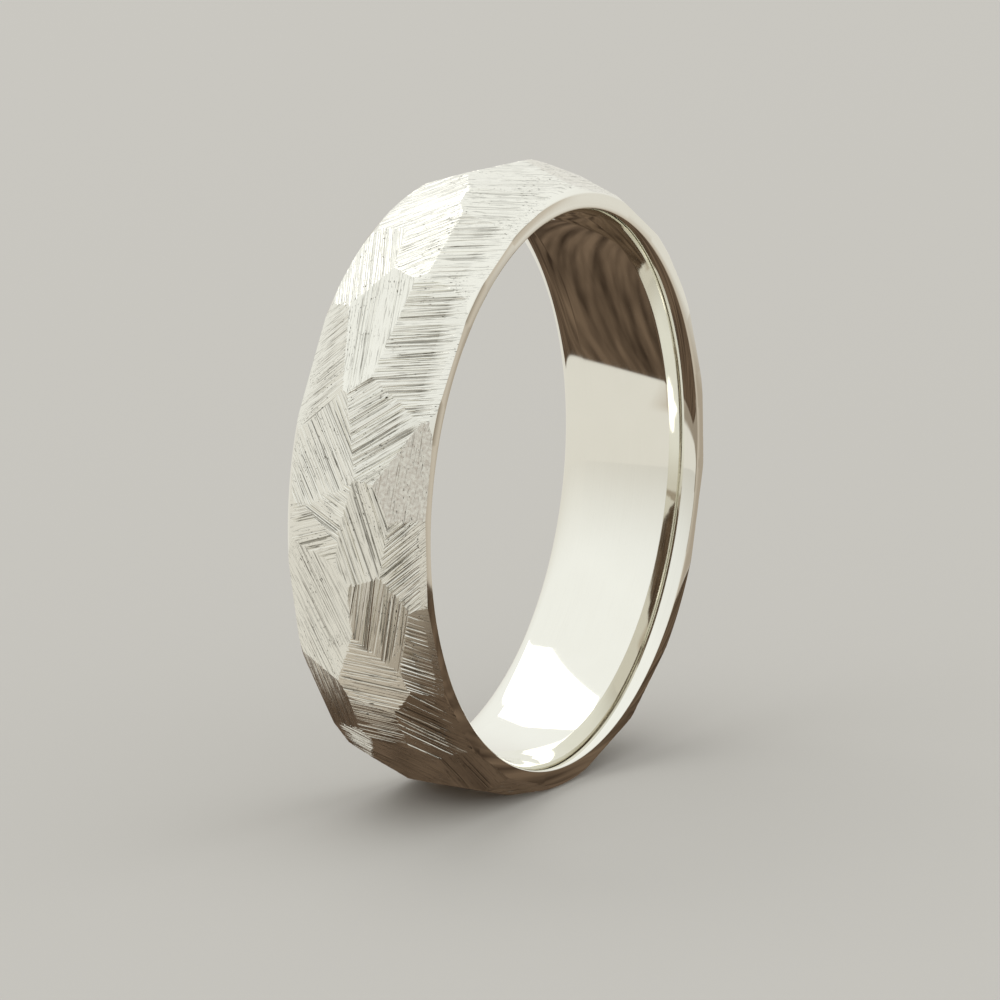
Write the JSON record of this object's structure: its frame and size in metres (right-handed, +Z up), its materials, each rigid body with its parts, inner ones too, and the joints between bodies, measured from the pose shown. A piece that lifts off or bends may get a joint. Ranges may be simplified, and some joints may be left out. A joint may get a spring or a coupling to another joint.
{
  "type": "wedding band",
  "caption": "Comfort-fit ring band in warm white gold, its domed outside hand-filed into irregular flats that carry coarse parallel file marks.",
  "frame": {"origin": "centre of the finger hole, midway between the two side faces", "axes": "+Y along the finger hole; +Z up, away from the flat that the band stands on; X completes the frame"},
  "size_m": [0.0232, 0.0054, 0.0226],
  "materials": {
    "white_gold": "warm white gold: coarse file marks on the outside flats, burnished bevels, polished side faces and bore"
  },
  "bodies": {
    "root": {"band": "white_gold"}
  },
  "joints": []
}
